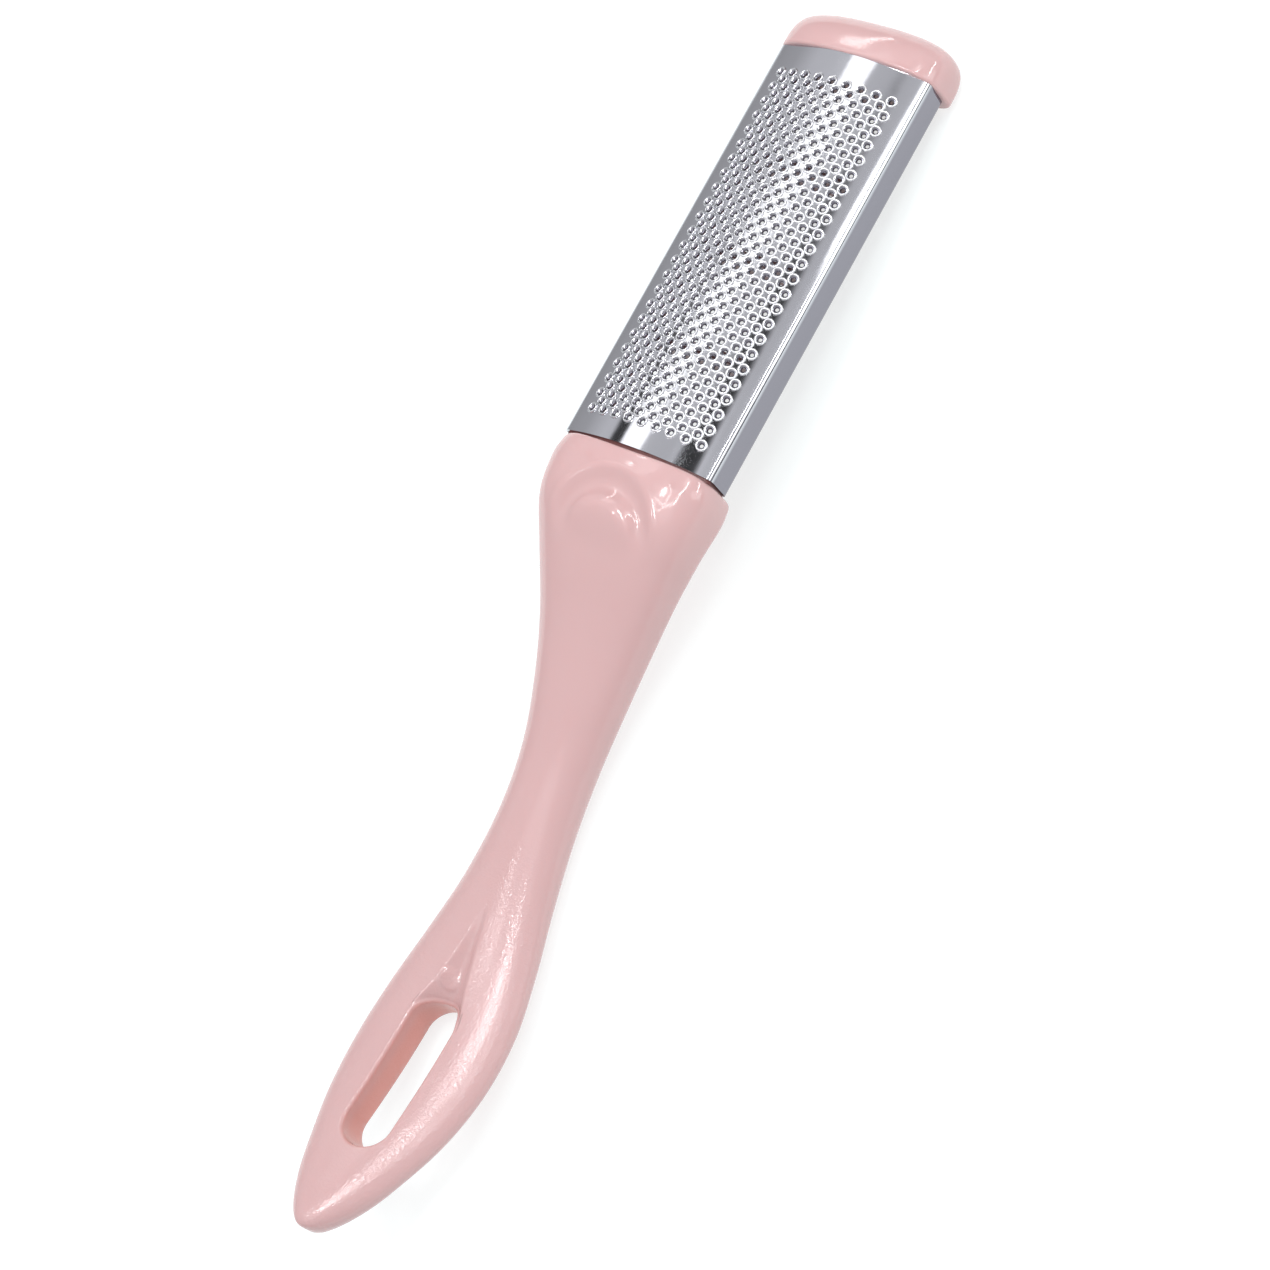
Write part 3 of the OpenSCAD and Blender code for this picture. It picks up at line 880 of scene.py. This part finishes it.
def cut_eye(bm, eye, row, column, half_turn, top_start, low_start, end):
    """Cuts the slot and pocket into the handle, ring by ring, and marks painted shade on the slot's rounded
    edge and walls, the more the further in each ring lies.
    """
    steps = bm.verts.layers.int.new("steps")
    side = bm.verts.layers.int.new("side")
    inner = bm.verts.layers.float["inner"]
    # Painted shade on the slot's rounded edge reaches this share; the walls go on to the full amount
    edge_shade_red = 0.6

    def off(v, middle):
        return abs((v[column] - middle + half_turn) % (2 * half_turn) - half_turn)

    def window(start, middle):
        """Opens the skin over the eye and numbers the vertices round the opening. Returns its edges."""
        inside = {v for v in bm.verts if start <= v[row] <= end and off(v, middle) <= eye.short}
        faces = {f for f in bm.faces if inside.issuperset(f.verts)}
        rim = {e for f in faces for e in f.edges if not faces.issuperset(e.link_faces)}
        bmesh.ops.delete(bm, geom=list(faces), context="FACES")
        for v in {v for e in rim for v in e.verts}:
            j = off(v, middle)
            if v[row] == start:
                v[steps] = j
            elif v[row] == end:
                v[steps] = 2 * eye.short + end - start - j
            else:
                v[steps] = eye.short + v[row] - start
            v[side] = 1 if v.co.y >= -WELD else -1
        return list(rim)

    def key(v):
        return v[steps], v[side]

    def heights(edges):
        return {key(v): v.co.z for e in edges for v in e.verts}

    def ease_to(edges, goal, count, skin):
        """Rings that spread from the window to an outline, laid on the skin."""
        begin = {key(v): (v.co.x, v.co.y) for e in edges for v in e.verts}
        for i in range(1, count + 1):
            t = i / count

            def place(v):
                x0, y0 = begin[key(v)]
                x1, y1 = goal(v[steps], v[side])
                x, y = mix(x0, x1, t), mix(y0, y1, t)
                return Vector((x, y, skin(x, y)))

            edges = grow_ring(bm, edges, place)
        return edges

    def round_in(edges, drop_sign):
        """Rounds the slot's edge from its outline on the skin to its wall."""
        lip = heights(edges)
        for degrees in (22.5, 45, 67.5, 90):
            a = math.radians(degrees)

            def place(v):
                x, y = eye.slot_at(v[steps], v[side], eye.outer - eye.edge * math.sin(a))
                # Painted shade grows round the edge towards the wall
                v[inner] = edge_shade_red * ease(degrees / 90)
                return Vector((x, y, lip[key(v)] + drop_sign * eye.edge * (1 - math.cos(a))))

            edges = grow_ring(bm, edges, place)
        return edges

    def pocket_floor():
        """Lays the pocket's floor and returns its edges along the near end of the slot."""
        before = set(bm.verts)
        bmesh.ops.create_grid(bm, x_segments=eye.side_rows, y_segments=2 * eye.arc, size=1)
        last = set()
        for v in set(bm.verts) - before:
            a = round((v.co.x + 1) / 2 * eye.side_rows)
            b = round(v.co.y * eye.arc)
            x, y, sunk = eye.floor_at(eye.pocket_share(a), b)
            v.co = Vector((x, y, top_at(x, y) - sunk))
            v[steps], v[side] = -1, 1 if b >= 0 else -1
            if a == eye.side_rows:
                v[steps] = abs(b)
                last.add(v)
        return [e for e in bm.edges if last.issuperset(e.verts)]

    low_rings, top_rings, wall_rings = 5, 8, 6
    low = window(low_start, 0)
    low = ease_to(low, lambda g, s: eye.slot_at(g, s, eye.outer), low_rings, underside_at)
    low = round_in(low, 1)
    foot = heights(low)

    top = window(top_start, half_turn)
    top = ease_to(top, eye.mouth_at, top_rings, top_at)
    slot_part = [e for e in top if all(v[steps] >= eye.side_rows for v in e.verts)]
    for v in {v for e in slot_part for v in e.verts}:
        v[steps] += eye.arc - eye.side_rows
    slot_ring = round_in(slot_part + pocket_floor(), -1)

    ledge = heights(slot_ring)
    for i in range(1, wall_rings + 1):
        t = i / wall_rings

        def place(v):
            # Painted shade deepens down the walls
            v[inner] = mix(edge_shade_red, 1, ease(2 * t))
            return Vector((v.co.x, v.co.y, mix(ledge[key(v)], foot[key(v)], t)))

        slot_ring = grow_ring(bm, slot_ring, place)


# Plate frame

def shade_plate_frame():
    """Gives the frame inside the plate a duller moulded finish whose pink is darkened to a red-brown as
    painted shade.
    """
    pink = bpy.context.scene.foot_handle.pink
    # The pink is darkened to a red-brown as painted shade
    material = moulded_pink("frame_shade_pink", shaded(pink, (0.25, 0.12, 0.11)), polish=0.35)
    for slot in frame["nodes"]["plate_frame"].material_slots:
        slot.material = material


# Stage

def build_floor(stage):
    """A white table that is lit softly from below."""
    bm = bmesh.new()
    bmesh.ops.create_grid(bm, x_segments=2, y_segments=2, size=stage.floor_width / 2)
    mesh = bpy.data.meshes.new("floor")
    bm.to_mesh(mesh)
    bm.free()
    floor = bpy.data.objects.new("floor", mesh)
    bpy.context.scene.collection.objects.link(floor)
    material, tree = new_material("pale_floor")
    feed(tree, tree.nodes["Principled BSDF"], {
        "Base Color": (0.39, 0.44, 0.435, 1),
        "Roughness": 0.9,
        "Emission Color": (1, 1, 1, 1),
        "Emission Strength": stage.glow,
    })
    mesh.materials.append(material)


def towards(azimuth, elevation):
    """A direction from its compass angle and height in degrees."""
    a, e = math.radians(azimuth), math.radians(elevation)
    return Vector((math.cos(e) * math.cos(a), math.cos(e) * math.sin(a), math.sin(e)))


# Brightness of the sky by height, from level to overhead, and how much bluer than grey it is
SKY_STOPS = ((0, 0.46), (0.3, 0.55), (0.5, 0.78), (0.72, 0.8), (0.9, 0.7), (0.97, 1.7))
SKY_BLUE = 1.03

# The near side of the room turns to this grey between these two shares of the way to it
NEAR_GREY, NEAR_SIDE = (0.5, 0.5, 0.52), (-0.25, -0.75)

# Dark gaps between the lamps: compass angle, height, inner and outer radius in degrees, and what is left
DARK_GAPS = ((64, 40, 2, 5, 0.06), (3, 67, 4, 8, 0.05), (20, 0, 10, 50, 0.3), (-68, 3, 5, 11, 0.1))


def studio_sky(brightness):
    """A plain room: grey beyond the plate and on the near side, with dark gaps between the lamps."""
    world = bpy.data.worlds.new("studio")
    world.use_nodes = True
    tree = world.node_tree
    way = add_node(tree, "ShaderNodeTexCoord", {}).outputs["Generated"]
    parts = add_node(tree, "ShaderNodeSeparateXYZ", {"Vector": way})
    sky = add_node(tree, "ShaderNodeValToRGB", {"Fac": parts.outputs["Z"]})
    stops = sky.color_ramp.elements
    for k, (place, value) in enumerate(SKY_STOPS):
        stop = stops[k] if k < len(stops) else stops.new(place)
        stop.position = place
        stop.color = (value, value, value * SKY_BLUE, 1)
    near = ranged(tree, parts.outputs["Y"], 0, 1, *NEAR_SIDE, curve="SMOOTHSTEP")
    strength = brightness
    for azimuth, elevation, inner, outer, left in DARK_GAPS:
        inputs = {0: way, 1: towards(azimuth, elevation)}
        off = add_node(tree, "ShaderNodeVectorMath", inputs, operation="DOT_PRODUCT").outputs["Value"]
        start, end = (math.cos(math.radians(r)) for r in (outer, inner))
        gap = ranged(tree, off, 1, left, start, end, curve="SMOOTHSTEP")
        strength = worked_out(tree, "MULTIPLY", strength, gap)
    colour = tinted(tree, sky.outputs["Color"], NEAR_GREY, near)
    feed(tree, tree.nodes["Background"], {"Color": colour, "Strength": strength})
    bpy.context.scene.world = world


# The camera, as it was solved from the lattice of holes: its turn in degrees, and its place in millimetres
CAMERA_TURN = (("Z", 61.135), ("Y", 10.931), ("X", -34.362))
CAMERA_PLACE = (-17.5196, -65.6394, 595.7518)


def photo_camera():
    """Places the camera, which is measured from the middle of the field of holes."""
    scene = bpy.context.scene
    rasp, stage = scene.foot_rasp, scene.foot_stage
    data = bpy.data.cameras.new("photo_camera")
    data.sensor_width = 36
    data.lens = stage.lens
    data.clip_start, data.clip_end = 0.01, 50
    turn = Matrix.Identity(4)
    for axis, degrees in CAMERA_TURN:
        turn = turn @ Matrix.Rotation(math.radians(degrees), 4, axis)
    middle = Matrix.Translation((rasp.margin + (rasp.rows - 1) * rasp.pitch / 2, 0, 0))
    away = Matrix.Translation(Vector(CAMERA_PLACE) * MM)
    camera = bpy.data.objects.new("photo_camera", data)
    camera.matrix_world = head_frame() @ middle @ turn.transposed() @ away
    scene.collection.objects.link(camera)
    scene.camera = camera


def hang(name, start, end, width, brightness, glossy):
    """Hangs up a softbox from start to end that faces the table and isn't seen by the camera."""
    data = bpy.data.lights.new(name, "AREA")
    data.shape = "RECTANGLE"
    data.size, data.size_y = (end - start).length, width
    data.energy = brightness * math.pi * data.size * data.size_y
    along = (end - start).normalized()
    middle = (start + end) / 2
    away = (middle - along * middle.dot(along)).normalized()
    turn = Matrix((along, away.cross(along), away)).transposed().to_4x4()
    lamp = bpy.data.objects.new(name, data)
    lamp.matrix_world = Matrix.Translation(middle) @ turn
    bpy.context.scene.collection.objects.link(lamp)
    lamp.visible_camera = False
    lamp.visible_glossy = glossy


# Softboxes under the ceiling: name, start and end in metres, width and brightness
CEILING = (
    ("bar", (0.225, 0.38), (0.465, 0.2), 0.12, 1.35),
    ("strip", (-0.03, -0.045), (0.13, 0.062), 0.045, 22),
    ("left leg", (0.085, -0.04), (0.215, 0.034), 0.012, 10),
    ("right leg", (0.1, -0.147), (0.43, -0.247), 0.02, 18),
    ("corner", (0.083, -0.045), (0.106, -0.147), 0.016, 8),
    ("branch", (-0.1, 0.195), (-0.02, 0.145), 0.03, 16),
    ("right", (0.315, -0.188), (0.525, -0.252), 0.12, 2.5),
)

# Softboxes on the walls: the same, with start and end as compass angle and height seen from the cap
WALLS = (
    ("cap line", (48, 42), (26, 11), 0.04, 10),
    ("cap side", (-34, 15), (-60, 27), 0.05, 20),
    ("side", (-66, 11), (-66, 43), 0.3, 2.2),
)
WALL_REACH = 1.1

# Lamps that leave no highlight: the same, seen from the middle of the tool
FILL = (
    ("key", (-95, 64), (-99, 68), 0.12, 18),
    ("soft", (124, 54), (124, 62), 0.18, 8),
)
FILL_REACH = 1.3


def hang_lamps(stage):
    _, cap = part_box("end_cap")
    corner = Vector((cap.x, 0, cap.z))
    groups = (
        (CEILING, True, lambda at: Vector((*at, stage.height))),
        (WALLS, True, lambda at: corner + WALL_REACH * towards(*at)),
        (FILL, False, lambda at: FILL_REACH * towards(*at)),
    )
    for boxes, glossy, place in groups:
        for name, start, end, width, brightness in boxes:
            hang(name, place(start), place(end), width, brightness * stage.lamps, glossy)


# Operators

class FOOTFILE_OT_rasp_plate(bpy.types.Operator):
    """Punch, fold and polish the rasp plate"""

    bl_idname = "footfile.rasp_plate"
    bl_label = "Rasp plate"

    def execute(self, context):
        build_rasp_plate()
        return {"FINISHED"}


class FOOTFILE_OT_end_cap(bpy.types.Operator):
    """Model the end cap"""

    bl_idname = "footfile.end_cap"
    bl_label = "End cap"

    def execute(self, context):
        build_end_cap()
        return {"FINISHED"}


class FOOTFILE_OT_handle(bpy.types.Operator):
    """Model the handle with its thumb rest, pocket and hanging slot"""

    bl_idname = "footfile.handle"
    bl_label = "Handle"

    def execute(self, context):
        build_handle()
        return {"FINISHED"}


class FOOTFILE_OT_plate_frame(bpy.types.Operator):
    """Give the plate's frame a duller moulded finish, darkened as painted shade"""

    bl_idname = "footfile.plate_frame"
    bl_label = "Plate frame"

    def execute(self, context):
        shade_plate_frame()
        return {"FINISHED"}


class FOOTFILE_OT_stage(bpy.types.Operator):
    """Add the floor, the lamps and the camera"""

    bl_idname = "footfile.stage"
    bl_label = "Stage"

    def execute(self, context):
        stage = context.scene.foot_stage
        build_floor(stage)
        studio_sky(stage.sky)
        photo_camera()
        hang_lamps(stage)
        context.scene.view_settings.view_transform = "Standard"
        return {"FINISHED"}


class FOOTFILE_PT_panel(bpy.types.Panel):
    """Sizes and steps of the foot file"""

    bl_idname = "FOOTFILE_PT_panel"
    bl_label = "Foot file"
    bl_space_type = "VIEW_3D"
    bl_region_type = "UI"
    bl_category = "Foot File"

    def draw(self, context):
        for group in GROUPS:
            box = self.layout.box()
            settings = getattr(context.scene, group)
            for name in settings.__annotations__:
                box.prop(settings, name)
        for step in STEPS:
            self.layout.operator(step.bl_idname)


GROUPS = {
    "foot_rasp": RaspSizes,
    "foot_head": HeadSizes,
    "foot_handle": HandleSizes,
    "foot_stage": StageSizes,
}
STEPS = (
    FOOTFILE_OT_rasp_plate,
    FOOTFILE_OT_end_cap,
    FOOTFILE_OT_handle,
    FOOTFILE_OT_plate_frame,
    FOOTFILE_OT_stage,
)


def register():
    for name, group in GROUPS.items():
        bpy.utils.register_class(group)
        setattr(bpy.types.Scene, name, PointerProperty(type=group))
    for cls in (*STEPS, FOOTFILE_PT_panel):
        bpy.utils.register_class(cls)


def unregister():
    for cls in (FOOTFILE_PT_panel, *reversed(STEPS)):
        bpy.utils.unregister_class(cls)
    for name, group in GROUPS.items():
        delattr(bpy.types.Scene, name)
        bpy.utils.unregister_class(group)


def main():
    register()
    bpy.ops.footfile.rasp_plate()
    bpy.ops.footfile.end_cap()
    bpy.ops.footfile.handle()
    bpy.ops.footfile.plate_frame()
    bpy.ops.footfile.stage()


if __name__ == "__main__":
    main()
